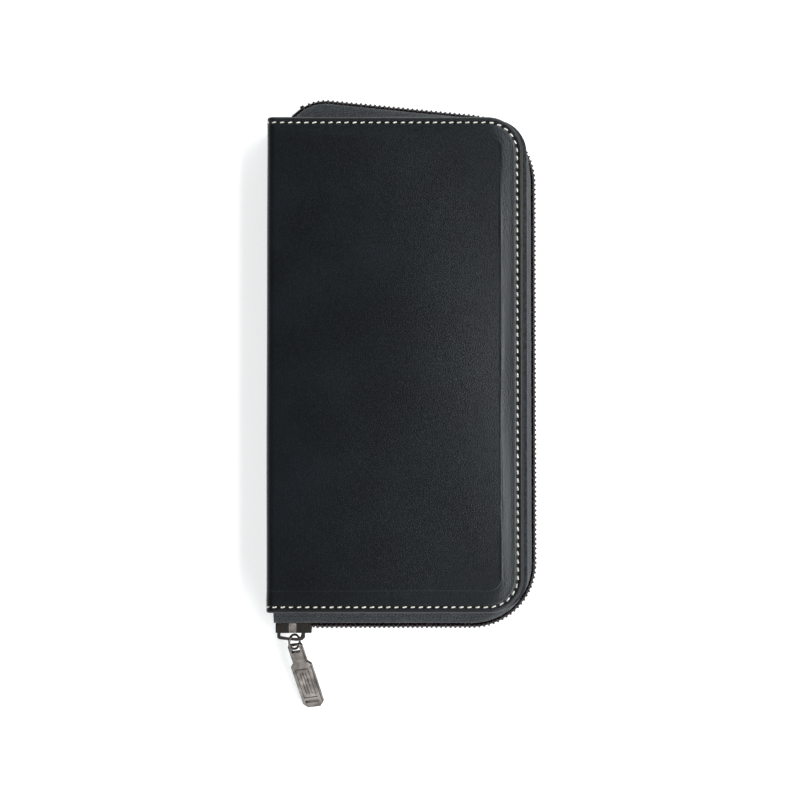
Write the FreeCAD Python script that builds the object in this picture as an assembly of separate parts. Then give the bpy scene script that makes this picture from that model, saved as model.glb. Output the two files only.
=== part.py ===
import FreeCAD, Part
import math
import os

# Zip-around leather case for fountain pens, lying closed on its back cover.
# +Z is up through the thickness, +Y runs along the pens, and the spine is on the -X side.
# The origin is the centre of the back cover's outer face. All sizes are in millimetres.

V = FreeCAD.Vector

# ---------------------------------------------------------------- driving dimensions
COVER_WIDTH = 88.0          # from the spine fold to the free edge
COVER_LENGTH = 166.0        # along the pens
COVER_CORNER = 12.0         # radius of the two free corners of each cover
CASE_THICKNESS = 25.6       # over the raised panels of both covers

LEATHER = 1.4
BOARD = 1.6                 # stiff board under each raised panel
LINING = 0.8
TAPE = 0.6                  # woven zip tape
SPINE_STRIP = 1.0           # soft stiffener in the spine
FOLD_GAP = 0.3              # between the mitred leathers at each fold
SEAT_CLEARANCE = 0.4        # from a fold's mitre to the layers under the leather

BOARD_SIDE_MARGIN = 9.3     # free edge of the cover to the board
BOARD_END_MARGIN = 7.5      # ends of the cover to the board
BOARD_CORNER = 3.0
PANEL_WRAP = 1.2            # leather standing out round the board
PANEL_CHAMFER = 0.9

TAPE_INSET = 0.4            # cover edge to the tape's outer face
FLANGE_WIDTH = 6.5          # tape sewn under the cover's margin
FLANGE_LIP = 0.1            # the sewn tape bulging past its own bend
LINING_INSET = 2.6

STITCH_INSET = 3.0
STITCH_PITCH = 2.7
STITCH_LENGTH = 1.75
STITCH_WIDTH = 0.6
STITCH_HEIGHT = 0.3

CHAIN_REACH_END = 5.6       # closed chain past the cover's lower end
CHAIN_REACH_SIDE = 3.0      # past the free edge
CHAIN_REACH_TOP = 0.4       # past the upper end, at the free corner
CHAIN_REACH_KNEE = 8.2      # past the upper end, where the chain ends near the spine
CHAIN_REACH_TAIL = 1.4      # past the upper end, where the bare tape meets the spine
CHAIN_LOWER_CORNER = 22.0
CHAIN_UPPER_CORNER = 24.0
KNEE_FROM_FOLD = 14.5       # spine fold to the end of the upper chain run
TAIL_FROM_FOLD = 6.5        # spine fold to the end of the upper tape
START_FROM_FOLD = 2.5       # spine fold to the start of the lower tape

COIL_DEPTH = 2.2            # out of the tape
COIL_WIDTH = 2.5            # across one coil
COIL_HALF_GAP = 0.7         # mid-plane to each coil
TAPE_HALF_GAP = 1.0         # mid-plane to each tape's edge
STOP_LENGTH = 1.6

SLIDER_LENGTH = 12.0
SLIDER_FROM_FOLD = 9.0      # spine fold to the slider's middle, zip closed
SLIDER_NOSE_HALF = 4.9
SLIDER_TAIL_HALF = 4.4
SLIDER_OUTER_PLATE = 1.1
SLIDER_INNER_PLATE = 1.0
CHANNEL_CLEARANCE = 0.3
POST_HALF = 0.35
TAIL_CLEARANCE = 1.2        # slider's tail to the front coil, zip closed
KNEE_CLEARANCE = 0.6        # slider to the tape's bend

BAIL_HALF = 0.55
BAIL_ROOM = 1.75            # under the bail's strip, for the ring's wire
BAIL_THICKNESS = 1.0
RING_RADIUS = 2.4
RING_WIRE = 0.4
RING_SHIFT = 0.2            # ring from the slider's middle, towards the tail
RING_TILT = 45.0            # ring's plane turned about the bail's reach
RING_CLEARANCE = 0.35       # ring's wire to the slider's plate

PULL_LENGTH = 24.6
PULL_WIDTH = 7.4
PULL_THICKNESS = 1.8
PULL_NECK_LENGTH = 7.0
PULL_NECK_WIDTH = 5.0
PULL_SHOULDER = 1.2
PULL_CORNER = 1.5
PULL_BAR = 0.5              # crossbar's radius
PULL_WINDOW_HALF = 1.6
PULL_WINDOW_END = 2.9
PULL_SLOT_HALF = 2.5
PULL_SLOT = 1.0
PULL_RIM = 1.9              # metal past the slot
ENGRAVING = 0.25
ENGRAVING_WIDTH = 0.45
PULL_YAW = 17.0             # turned from straight out towards the tail
PULL_SLOPE = 24.0           # resting down from the slider
PULL_ROLL = 20.0

PEN_COUNT = 4
PEN_PITCH = 18.5
PEN_RADIUS = 6.6            # inside of a loop
PEN_LEG = 4.0               # straight sides of a loop below its round top
BAND = 1.0                  # elastic webbing
BAND_WIDTH = 20.0
BAND_FROM_MIDDLE = 40.0
PEN_PANEL = 1.0
PEN_PANEL_SIDE_MARGIN = 5.0
PEN_PANEL_LENGTH = 124.0
PEN_PANEL_CORNER = 6.0

POCKET_LEATHER = 1.0
POCKET_ROOM = 0.6
POCKET_RIM = 3.0
POCKET_LENGTH = 98.0
POCKET_END_MARGIN = 8.0
POCKET_SIDE_MARGIN = 6.0
POCKET_CORNER = 6.0
BINDING_WIDTH = 2.5
BINDING = 0.5

# ---------------------------------------------------------------- derived places
X_FOLD = -COVER_WIDTH / 2
X_EDGE = COVER_WIDTH / 2
Y_END = COVER_LENGTH / 2
Z_MID = CASE_THICKNESS / 2
Z_TOP = CASE_THICKNESS
FAR = 400.0                 # longer than the case, for cutting tools

# Levels of the front half, bottom and top of each layer
Z_BOARD_TOP = Z_TOP - LEATHER
Z_LINING_TOP = Z_BOARD_TOP - BOARD
Z_LINING = Z_LINING_TOP - LINING
Z_MARGIN = Z_LINING_TOP + TAPE
Z_MARGIN_TOP = Z_MARGIN + LEATHER
Z_KNEE = Z_MID + SLIDER_NOSE_HALF + KNEE_CLEARANCE

X_UNDER_BOARD = X_FOLD + (Z_TOP - Z_LINING_TOP) + SEAT_CLEARANCE
X_UNDER_LINING = X_FOLD + (Z_TOP - Z_LINING) + SEAT_CLEARANCE

Y_CHAIN = -(Y_END + CHAIN_REACH_END)        # outer face of the lower run
Y_COIL_IN = Y_CHAIN + COIL_DEPTH            # the tape's outer face there
X_SLIDER = X_FOLD + SLIDER_FROM_FOLD
X_TAIL = X_SLIDER + SLIDER_LENGTH / 2
X_NOSE = X_SLIDER - SLIDER_LENGTH / 2
Y_PLATE_IN = Y_CHAIN - CHANNEL_CLEARANCE
Y_PLATE_OUT = Y_PLATE_IN - SLIDER_OUTER_PLATE
Y_SLIT = Y_COIL_IN - CHANNEL_CLEARANCE
Y_BACK_PLATE = Y_COIL_IN + TAPE + CHANNEL_CLEARANCE
X_COIL_END = X_FOLD + KNEE_FROM_FOLD + STOP_LENGTH + 0.4


# ---------------------------------------------------------------- outlines
def unit(a, b):
    """Direction from point a to point b in the plane."""
    length = math.hypot(b[0] - a[0], b[1] - a[1])
    return (b[0] - a[0]) / length, (b[1] - a[1]) / length


def offset(corners, distances):
    """Move each side of a counter-clockwise outline outwards by its own distance.

    A corner is (x, y, radius) and side i runs from corner i to the next one.
    """
    count = len(corners)
    moved = []
    for i in range(count):
        before, here, after = corners[i - 1], corners[i], corners[(i + 1) % count]
        ax, ay = unit(before, here)
        bx, by = unit(here, after)
        da, db = distances[i - 1], distances[i]
        turn = ax * by - ay * bx
        px, py = here[0] + ay * da, here[1] - ax * da
        if abs(turn) > 1e-9:
            qx, qy = here[0] + by * db, here[1] - bx * db
            along = ((qx - px) * by - (qy - py) * bx) / turn
            px, py = px + ax * along, py + ay * along
        radius = here[2] + da if here[2] else 0.0
        moved.append((px, py, radius))
    return moved


def outline_wire(corners, z):
    """Closed wire of straight sides, with a tangent arc at each corner that has a radius."""
    count = len(corners)
    stops = []
    for i in range(count):
        before, here, after = corners[i - 1], corners[i], corners[(i + 1) % count]
        ax, ay = unit(before, here)
        bx, by = unit(here, after)
        if not here[2]:
            stops.append((V(here[0], here[1], z),))
            continue
        half_turn = abs(math.atan2(ax * by - ay * bx, ax * bx + ay * by)) / 2
        reach = here[2] * math.tan(half_turn)
        rise = here[2] * (1 / math.cos(half_turn) - 1)
        cx, cy = bx - ax, by - ay
        size = math.hypot(cx, cy)
        stops.append((
            V(here[0] - ax * reach, here[1] - ay * reach, z),
            V(here[0] + cx / size * rise, here[1] + cy / size * rise, z),
            V(here[0] + bx * reach, here[1] + by * reach, z),
        ))
    edges = []
    for i, stop in enumerate(stops):
        if len(stop) == 3:
            edges.append(Part.Arc(*stop).toShape())
        edges.append(Part.LineSegment(stop[-1], stops[(i + 1) % count][0]).toShape())
    return Part.Wire(edges)


def prism(corners, low, high):
    """Upright solid of an outline between two heights."""
    return Part.Face(outline_wire(corners, low)).extrude(V(0, 0, high - low))


def block(low, high):
    """Box between two opposite corners."""
    size = V(*high) - V(*low)
    return Part.makeBox(size.x, size.y, size.z, V(*low))


def side_prism(points, low_y, high_y):
    """Solid of an outline in the XZ plane, between two places along Y."""
    loop = [V(x, low_y, z) for x, z in points]
    face = Part.Face(Part.makePolygon(loop + loop[:1]))
    return face.extrude(V(0, high_y - low_y, 0))


def to_back(shape):
    """The same layer of the back half: mirrored in the case's mid-plane."""
    return shape.mirror(V(0, 0, Z_MID), V(0, 0, 1))


def joined(*shapes):
    """Fuse shapes into one clean solid."""
    return shapes[0].multiFuse(list(shapes[1:])).removeSplitter()


COVER = [(X_FOLD, -Y_END, 0.0), (X_EDGE, -Y_END, COVER_CORNER),
         (X_EDGE, Y_END, COVER_CORNER), (X_FOLD, Y_END, 0.0)]


def cover_inset(distance, x_left=X_FOLD):
    """The cover's outline moved in from its three free sides, starting at x_left."""
    moved = offset(COVER, [-distance, -distance, -distance, 0.0])
    return [(x_left, moved[0][1], 0.0), moved[1], moved[2], (x_left, moved[3][1], 0.0)]


def board_outline(grow, x_left):
    """The stiff board's outline, grown on its three free sides."""
    x_right = X_EDGE - BOARD_SIDE_MARGIN + grow
    y_end = Y_END - BOARD_END_MARGIN + grow
    radius = BOARD_CORNER + grow
    return [(x_left, -y_end, 0.0), (x_right, -y_end, radius),
            (x_right, y_end, radius), (x_left, y_end, 0.0)]


# ---------------------------------------------------------------- covers and spine
def mitre(side):
    """Cutting tool at 45 degrees through the upper fold.

    It removes what lies on the spine's side (-1) or on the cover's side (1).
    """
    shift = FOLD_GAP / 2 * math.sqrt(2) * (1 if side < 0 else -1)
    up, down = 5.0, 20.0
    line = [(X_FOLD + shift - up, Z_TOP + up), (X_FOLD + shift + down, Z_TOP - down)]
    far_x = X_FOLD + side * (down + 30.0)
    return side_prism(line + [(far_x, Z_TOP - down), (far_x, Z_TOP + up)], -FAR / 2, FAR / 2)


def cover_leather():
    """Cover leather: a thin margin over the tape and a raised panel over the board."""
    margin = prism(COVER, Z_MARGIN, Z_MARGIN_TOP)
    raised = prism(board_outline(PANEL_WRAP, X_FOLD), Z_MARGIN, Z_TOP)
    rim = [e for e in raised.Edges
           if min(v.Z for v in e.Vertexes) > Z_TOP - 0.01
           and max(v.X for v in e.Vertexes) > X_FOLD + 0.01]
    raised = raised.makeChamfer(PANEL_CHAMFER, rim)
    pocket = prism(board_outline(0.0, X_FOLD - 5.0), Z_MARGIN - 1.0, Z_BOARD_TOP)
    return joined(margin, raised).cut(pocket).cut(mitre(-1))


def cover_board():
    return prism(board_outline(-0.1, X_UNDER_BOARD), Z_LINING_TOP, Z_BOARD_TOP)


def cover_lining():
    return prism(cover_inset(LINING_INSET, X_UNDER_LINING), Z_LINING, Z_LINING_TOP)


def spine_layer(start, thickness, end_margin):
    """One upright layer of the spine, mitred at both folds."""
    y_end = Y_END - end_margin
    plate = block((X_FOLD + start, -y_end, 0), (X_FOLD + start + thickness, y_end, Z_TOP))
    cutter = mitre(1)
    return plate.cut(cutter).cut(to_back(cutter))


def stitches(path, normal):
    """A row of short thread bars along a wire, standing on the surface that faces normal."""
    count = max(2, round(path.Length / STITCH_PITCH) + 1)
    points = path.discretize(count)
    bars = []
    for a, b in zip(points, points[1:]):
        along = (b - a).normalize()
        middle = (a + b) * 0.5
        across = normal.cross(along)
        bar = Part.makeBox(STITCH_LENGTH, STITCH_WIDTH, STITCH_HEIGHT,
                           V(-STITCH_LENGTH / 2, -STITCH_WIDTH / 2, 0))
        bar.Placement = FreeCAD.Placement(middle, FreeCAD.Rotation(along, across, normal, "ZXY"))
        bars.append(bar)
    return Part.makeCompound(bars)


def cover_stitching():
    """Contrast thread along the three free sides of the front cover."""
    closed = outline_wire(cover_inset(STITCH_INSET, X_FOLD + LEATHER), Z_MARGIN_TOP)
    free_sides = [e for e in closed.Edges
                  if max(v.X for v in e.Vertexes) > X_FOLD + LEATHER + 0.01]
    return stitches(Part.Wire(Part.__sortEdges__(free_sides)), V(0, 0, 1))


def spine_stitching():
    """The same thread across both ends of the spine."""
    rows = []
    for y in (-Y_END + STITCH_INSET, Y_END - STITCH_INSET):
        line = Part.LineSegment(V(X_FOLD, y, STITCH_PITCH), V(X_FOLD, y, Z_TOP - STITCH_PITCH))
        rows.extend(stitches(Part.Wire([line.toShape()]), V(-1, 0, 0)).Solids)
    return Part.makeCompound(rows)


# ---------------------------------------------------------------- zip
def chain_outline():
    """Outer face of the closed chain, with its two ends near the spine."""
    x_start = X_FOLD + START_FROM_FOLD
    x_side = X_EDGE + CHAIN_REACH_SIDE
    return [(x_start, Y_CHAIN, 0.0), (x_side, Y_CHAIN, CHAIN_LOWER_CORNER),
            (x_side, Y_END + CHAIN_REACH_TOP, CHAIN_UPPER_CORNER),
            (X_FOLD + KNEE_FROM_FOLD, Y_END + CHAIN_REACH_KNEE, 0.0),
            (X_FOLD + TAIL_FROM_FOLD, Y_END + CHAIN_REACH_TAIL, 0.0)]


def chain_inset(distance):
    """The chain's outline moved in from its four running sides."""
    return offset(chain_outline(), [-distance] * 4 + [0.0])


def sewn_outline(distance):
    """The tape where it is sewn under the cover, with the same corners as the chain's outline."""
    y_sewn = Y_END - TAPE_INSET - distance
    x_sewn = X_EDGE - TAPE_INSET - distance
    radius = COVER_CORNER - TAPE_INSET - distance
    return [(X_FOLD + START_FROM_FOLD, -y_sewn, 0.0), (x_sewn, -y_sewn, radius),
            (x_sewn, y_sewn, radius), (X_FOLD + KNEE_FROM_FOLD, y_sewn, 0.0),
            (X_FOLD + TAIL_FROM_FOLD, y_sewn, 0.0)]


def ribbon(outer, inner):
    """Closed outline of a thin wall that runs between two outlines and is open at the spine."""
    return outer + inner[::-1]


def gusset_tape(notched):
    """Front tape: sewn under the margin, sloping out to the knee, then upright to the coil.

    A notched tape has no upright stretch where the parked slider is.
    """
    sewn = ribbon(sewn_outline(0.0), sewn_outline(TAPE))
    upright = ribbon(chain_inset(COIL_DEPTH), chain_inset(COIL_DEPTH + TAPE))
    slope = Part.makeLoft([outline_wire(upright, Z_KNEE), outline_wire(sewn, Z_LINING_TOP)], True, True)
    flange = prism(cover_inset(TAPE_INSET - FLANGE_LIP, X_UNDER_LINING), Z_LINING_TOP, Z_MARGIN)
    window = prism(cover_inset(TAPE_INSET + FLANGE_WIDTH, X_UNDER_LINING - 1.0),
                   Z_LINING_TOP - 1.0, Z_MARGIN + 1.0)
    wall = prism(upright, Z_MID + TAPE_HALF_GAP, Z_KNEE)
    if notched:
        wall = wall.cut(slider_notch())
    return joined(wall, slope, flange.cut(window))


def slider_notch():
    """Room that the front tape leaves round the parked slider."""
    return block((X_FOLD - 5.0, Y_CHAIN - 5.0, Z_MID - 0.1),
                 (X_TAIL + TAIL_CLEARANCE, Y_CHAIN + 8.0, Z_KNEE + 1.0))


def chain_ring():
    """Whole band that the front coil and its stop lie in."""
    low = Z_MID + COIL_HALF_GAP
    return prism(ribbon(chain_outline(), chain_inset(COIL_DEPTH)), low, low + COIL_WIDTH)


def coil(lower_start):
    """Front coil, from lower_start near the slider to the stop at the upper end."""
    ring = chain_ring()
    lower_trim = block((X_FOLD - 5.0, -FAR, 0), (lower_start, 0, Z_TOP))
    upper_trim = block((X_FOLD - 5.0, 0, 0), (X_COIL_END, FAR, Z_TOP))
    return ring.cut(lower_trim).cut(upper_trim)


def end_stop():
    """Small moulded stop on the front tape, past the upper end of its coil."""
    return chain_ring().common(block((X_COIL_END - STOP_LENGTH, 0, 0), (X_COIL_END, FAR, Z_TOP)))


def slider_body():
    """Slider: two plates joined by a post at the nose, with side flanges over the coils."""
    nose, tail = SLIDER_NOSE_HALF, SLIDER_TAIL_HALF
    half_plan = [(X_NOSE, nose - 0.8), (X_NOSE + 1.2, nose), (X_NOSE + 4.5, nose),
                 (X_NOSE + 7.0, tail), (X_TAIL, tail)]
    plan = [(x, Z_MID - z) for x, z in half_plan] + [(x, Z_MID + z) for x, z in half_plan[::-1]]
    outer = side_prism(plan, Y_PLATE_OUT, Y_PLATE_IN)
    inner = side_prism(plan, Y_BACK_PLATE, Y_BACK_PLATE + SLIDER_INNER_PLATE)
    skirt = side_prism(plan, Y_PLATE_IN, Y_SLIT)
    channel_half = COIL_HALF_GAP + COIL_WIDTH + CHANNEL_CLEARANCE
    channel = block((X_NOSE - 1.0, Y_PLATE_IN, Z_MID - channel_half),
                    (X_TAIL + 1.0, Y_SLIT + 1.0, Z_MID + channel_half))
    post = block((X_NOSE + 0.4, Y_PLATE_IN, Z_MID - POST_HALF),
                 (X_NOSE + 2.8, Y_BACK_PLATE, Z_MID + POST_HALF))
    return joined(outer, skirt.cut(channel), inner, post)


def bail_shape(points):
    """Outline seen along Z, x from the slider's middle and y out from its plate."""
    loop = [V(X_SLIDER + x, Y_PLATE_OUT - y, Z_MID - BAIL_HALF) for x, y in points]
    return Part.Face(Part.makePolygon(loop + loop[:1])).extrude(V(0, 0, 2 * BAIL_HALF))


def slider_bail():
    """Bridge on the slider's outer plate, rising towards the tail, that the ring hangs on."""
    under = BAIL_ROOM
    over = under + BAIL_THICKNESS
    outer = bail_shape([(-5.6, 0), (-5.6, over - 0.9), (-4.8, over - 0.4), (1.2, over + 0.15),
                        (3.0, over - 0.2), (3.8, over - 1.1), (3.8, 0)])
    inner = bail_shape([(-4.5, -0.1), (-4.5, under - 0.5), (-1.6, under), (1.4, under + 0.1),
                        (2.3, under - 0.4), (2.7, -0.1)])
    return outer.cut(inner)


def bail_axis_reach():
    """Middle of the bail's strip under the ring, out from the slider's plate."""
    return BAIL_ROOM + BAIL_THICKNESS / 2


def ring_centre():
    return V(X_SLIDER + RING_SHIFT, Y_PLATE_OUT - RING_CLEARANCE - RING_WIRE - RING_RADIUS, Z_MID)


def pull_link():
    """Round wire link between the bail and the pull."""
    tilt = math.radians(RING_TILT)
    return Part.makeTorus(RING_RADIUS, RING_WIRE, ring_centre(), V(math.sin(tilt), 0, math.cos(tilt)))


def pull_placement():
    """The pull's own frame: x down the pull from its crossbar, y across it, z out of its face."""
    turn = (FreeCAD.Rotation(V(0, 0, 1), PULL_YAW - 90.0)
            .multiply(FreeCAD.Rotation(V(0, 1, 0), PULL_SLOPE))
            .multiply(FreeCAD.Rotation(V(1, 0, 0), PULL_ROLL)))
    far_side = ring_centre() - V(0, RING_RADIUS - RING_WIRE, 0)
    return FreeCAD.Placement(far_side + V(0, PULL_BAR + 0.65, 0), turn)


def pull_tab():
    """Long pull: crossbar and window, neck, engraved plate with a slot near its end."""
    low, high = -PULL_THICKNESS / 2, PULL_THICKNESS / 2
    neck, wide, end = PULL_NECK_WIDTH / 2, PULL_WIDTH / 2, PULL_LENGTH
    shoulder = PULL_NECK_LENGTH
    half_plan = [(-0.2, neck - 0.5), (0.5, neck), (shoulder, neck),
                 (shoulder + PULL_SHOULDER, wide), (end - PULL_CORNER, wide),
                 (end, wide - PULL_CORNER)]
    plan = [(x, -y, 0.0) for x, y in half_plan] + [(x, y, 0.0) for x, y in half_plan[::-1]]
    plate = prism(plan, low, high)
    plate = plate.makeChamfer(0.25, [e for e in plate.Edges
                                     if abs(e.Vertexes[0].Z - e.Vertexes[-1].Z) < 0.01])
    window = block((-2.0, -PULL_WINDOW_HALF, low - 1), (PULL_WINDOW_END, PULL_WINDOW_HALF, high + 1))
    slot = block((end - PULL_RIM - PULL_SLOT, -PULL_SLOT_HALF, low - 1),
                 (end - PULL_RIM, PULL_SLOT_HALF, high + 1))
    bar = Part.makeCylinder(PULL_BAR, 2 * PULL_WINDOW_HALF + 0.4,
                            V(0.2, -PULL_WINDOW_HALF - 0.2, 0), V(0, 1, 0))
    tab = joined(plate.cut(window).cut(slot), bar)
    frame_start = shoulder + PULL_SHOULDER + 1.0
    frame_end = end - PULL_RIM - PULL_SLOT - 1.0
    frame_half = wide - 1.2
    outer = block((frame_start, -frame_half, high - ENGRAVING), (frame_end, frame_half, high + 1))
    w = ENGRAVING_WIDTH
    inner = block((frame_start + w, -frame_half + w, high - ENGRAVING - 1),
                  (frame_end - w, frame_half - w, high + 1))
    tab = tab.cut(outer.cut(inner))
    for y in (-1.0, 0.0, 1.0):
        tab = tab.cut(block((frame_start + 1.6, y - w / 2, high - ENGRAVING),
                            (frame_end - 1.6, y + w / 2, high + 1)))
    tab.Placement = pull_placement()
    return tab


# ---------------------------------------------------------------- inside
def loop_centres():
    """Middle of each pen loop across the case, and the height of its round top's centre."""
    middle = (X_UNDER_LINING + X_EDGE) / 2
    places = [middle + (k - (PEN_COUNT - 1) / 2) * PEN_PITCH for k in range(PEN_COUNT)]
    return places, to_back_level(Z_LINING) + PEN_PANEL + BAND + PEN_LEG


def to_back_level(z):
    return 2 * Z_MID - z


def pen_panel():
    """Leather panel on the back lining that both bands are sewn to."""
    low = to_back_level(Z_LINING)
    x_left, x_right = X_UNDER_LINING + PEN_PANEL_SIDE_MARGIN - 1.0, X_EDGE - PEN_PANEL_SIDE_MARGIN
    y, r = PEN_PANEL_LENGTH / 2, PEN_PANEL_CORNER
    corners = [(x_left, -y, r), (x_right, -y, r), (x_right, y, r), (x_left, y, r)]
    return prism(corners, low, low + PEN_PANEL)


def pen_band(y_middle):
    """Elastic webbing: a flat strip with a raised loop for each pen."""
    places, z_centre = loop_centres()
    low_y, high_y = y_middle - BAND_WIDTH / 2, y_middle + BAND_WIDTH / 2
    floor = z_centre - PEN_LEG
    reach = PEN_RADIUS + BAND
    band = [block((places[0] - reach - 1.0, low_y, floor - BAND),
                  (places[-1] + reach + 1.0, high_y, floor))]
    for x in places:
        outside = arch(x, reach, low_y, high_y, floor, z_centre)
        inside = arch(x, PEN_RADIUS, low_y - 1.0, high_y + 1.0, floor, z_centre)
        band.append(outside.cut(inside))
    return joined(*band)


def arch(x, radius, low_y, high_y, floor, z_centre):
    """Solid of straight sides and a round top, lying along Y."""
    legs = block((x - radius, low_y, floor), (x + radius, high_y, z_centre))
    top = Part.makeCylinder(radius, high_y - low_y, V(x, low_y, z_centre), V(0, 1, 0))
    return joined(legs, top).cut(block((x - radius - 1.0, low_y, -FAR), (x + radius + 1.0, high_y, floor)))


def pocket_outline(inset):
    """Slip pocket in the front cover, open at its upper end."""
    x_left = X_UNDER_LINING + POCKET_SIDE_MARGIN + inset
    x_right = X_EDGE - POCKET_SIDE_MARGIN - inset
    low = -Y_END + POCKET_END_MARGIN + inset
    radius = POCKET_CORNER - inset
    high = -Y_END + POCKET_END_MARGIN + POCKET_LENGTH
    return [(x_left, low, radius), (x_right, low, radius), (x_right, high, 0.0), (x_left, high, 0.0)]


def slip_pocket():
    """Thin leather pocket sewn to the front lining along three sides."""
    low = Z_LINING - POCKET_ROOM - POCKET_LEATHER
    panel = prism(pocket_outline(0.0), low, low + POCKET_LEATHER)
    rim = prism(pocket_outline(0.0), low + POCKET_LEATHER, Z_LINING)
    inner = pocket_outline(POCKET_RIM)
    inner[2:] = [(x, y + 5.0, r) for x, y, r in inner[2:]]
    return joined(panel, rim.cut(prism(inner, low + POCKET_LEATHER, Z_LINING)))


def pocket_binding():
    """Folded strip along the pocket's mouth."""
    corners = pocket_outline(0.0)
    low = Z_LINING - POCKET_ROOM - POCKET_LEATHER
    return block((corners[3][0], corners[3][1] - BINDING_WIDTH, low - BINDING),
                 (corners[2][0], corners[2][1], low))


# ---------------------------------------------------------------- build
def build():
    """Every node's shape, by name."""
    leather, boards, linings = cover_leather(), cover_board(), cover_lining()
    thread, stop = cover_stitching(), end_stop()
    return {
        "front_cover_leather": leather,
        "front_cover_board": boards,
        "front_lining": linings,
        "front_stitching": thread,
        "front_zip_tape": gusset_tape(notched=True),
        "front_zip_coil": coil(X_TAIL + TAIL_CLEARANCE),
        "front_end_stop": stop,
        "front_slip_pocket": slip_pocket(),
        "pocket_binding": pocket_binding(),
        "spine_leather": spine_layer(0.0, LEATHER, 0.0),
        "spine_strip": spine_layer(LEATHER, SPINE_STRIP, BOARD_END_MARGIN),
        "spine_lining": spine_layer(LEATHER + SPINE_STRIP, LINING, BOARD_END_MARGIN - 2.0),
        "spine_stitching": spine_stitching(),
        "back_cover_leather": to_back(leather),
        "back_cover_board": to_back(boards),
        "back_lining": to_back(linings),
        "back_stitching": to_back(thread),
        "back_zip_tape": to_back(gusset_tape(notched=False)),
        "back_zip_coil": to_back(coil(X_NOSE + 0.7)),
        "back_end_stop": to_back(stop),
        "pen_panel": pen_panel(),
        "upper_pen_band": pen_band(BAND_FROM_MIDDLE),
        "lower_pen_band": pen_band(-BAND_FROM_MIDDLE),
        "slider_body": slider_body(),
        "slider_bail": slider_bail(),
        "pull_link": pull_link(),
        "pull_tab": pull_tab(),
    }


def main():
    os.makedirs("parts", exist_ok=True)
    for name, shape in build().items():
        box = shape.BoundBox
        print(f"{name:22s} solids {len(shape.Solids):3d} valid {shape.isValid()} volume {shape.Volume:10.2f}"
              f"  x {box.XMin:7.2f} {box.XMax:7.2f}  y {box.YMin:8.2f} {box.YMax:8.2f}"
              f"  z {box.ZMin:6.2f} {box.ZMax:6.2f}")
        solid = shape.Solids[0] if len(shape.Solids) == 1 else Part.makeCompound(shape.Solids)
        solid.exportStep(f"parts/{name}.step")
    axis = pull_placement()
    print("crossbar", axis.Base, "across", axis.Rotation.multVec(V(0, 1, 0)))
    print("bail axis", ring_centre().x, Y_PLATE_OUT - bail_axis_reach(), Z_MID)


main()
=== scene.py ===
import math

import bmesh
import bpy
import numpy as np
from mathutils import Matrix, Vector


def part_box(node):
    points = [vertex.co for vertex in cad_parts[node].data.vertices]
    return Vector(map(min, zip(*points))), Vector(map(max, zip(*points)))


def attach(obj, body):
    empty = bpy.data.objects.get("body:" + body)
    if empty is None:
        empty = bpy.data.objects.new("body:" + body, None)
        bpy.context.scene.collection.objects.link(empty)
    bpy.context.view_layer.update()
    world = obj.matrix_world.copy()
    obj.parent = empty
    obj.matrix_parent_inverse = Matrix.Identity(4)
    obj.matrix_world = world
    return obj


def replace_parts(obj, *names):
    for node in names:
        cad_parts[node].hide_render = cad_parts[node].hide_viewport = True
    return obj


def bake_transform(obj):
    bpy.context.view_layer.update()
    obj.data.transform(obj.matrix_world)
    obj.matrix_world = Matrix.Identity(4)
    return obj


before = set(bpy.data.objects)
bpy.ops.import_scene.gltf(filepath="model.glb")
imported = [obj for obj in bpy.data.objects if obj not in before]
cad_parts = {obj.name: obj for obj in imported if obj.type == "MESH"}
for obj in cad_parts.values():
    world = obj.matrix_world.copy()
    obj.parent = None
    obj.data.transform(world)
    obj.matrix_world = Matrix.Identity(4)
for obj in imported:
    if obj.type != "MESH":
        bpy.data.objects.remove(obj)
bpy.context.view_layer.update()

MM = 0.001

# Levels and edges of the case in millimetres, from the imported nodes.
COVER_LOW, COVER_HIGH = [np.array(c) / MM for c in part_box("front_cover_leather")]
X_FOLD = COVER_LOW[0]
X_EDGE = COVER_HIGH[0]
Y_END = COVER_HIGH[1]
Z_TOP = COVER_HIGH[2]
Z_MID = Z_TOP / 2
CORNER = 12.0                 # free corners of the covers
BOARD_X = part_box("front_cover_board")[1][0] / MM
BOARD_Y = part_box("front_cover_board")[1][1] / MM
BOARD_CORNER = 3.0
X_RIM = X_EDGE - 2.0          # long free edge of the leather, which leaves the tape in sight
LEATHER = 1.35
STEP = 0.16                   # how far the leather beside the board lies below the panel
EDGE_DROP = 0.20              # how much lower the sewn edge is pulled
STITCH_INSET = 1.95
STITCH_PITCH = 2.7
LINING_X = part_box("front_lining")[1][0] / MM
LINING_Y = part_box("front_lining")[1][1] / MM
LINING_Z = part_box("front_lining")[0][2] / MM
LINING_WALL = X_FOLD + 3.2    # inner face of the spine's lining
LINING_CORNER = CORNER - 2.6
LINING_FOLD = 1.5
CHAIN = [(-41.5, -88.6, 0.0), (47.0, -88.6, 22.0), (47.0, 83.4, 24.0),
         (-29.5, 91.2, 16.0), (-37.5, 84.4, 0.0)]
CHAIN_DEPTH = 2.2
COIL_PITCH = 1.6
FRONT_COIL = (13.3, 16.1)     # lowest and highest level of each coil
BACK_COIL = (9.5, 12.3)
TAPE_TOP = 23.2               # under the cover's margin
TAPE_LIP = 18.3               # where the tape turns down behind the coil
TAPE_LINE = 15.6              # the brown line's place across the tape
FLANGE = 6.6                  # width sewn under the leather
RING_X, RING_Y = -34.8, -93.15
RING_RADIUS, RING_WIRE = 2.4, 0.4
PEN_PITCH = 18.5              # from one pen to the next
LOOP_RADIUS = 7.1             # middle of the webbing round a pen
PANEL_CORNER = 6.0
PANEL_INSET = 2.1             # stitches inside the panel's and the pocket's edge
PANEL_WALL = 0.9


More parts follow.
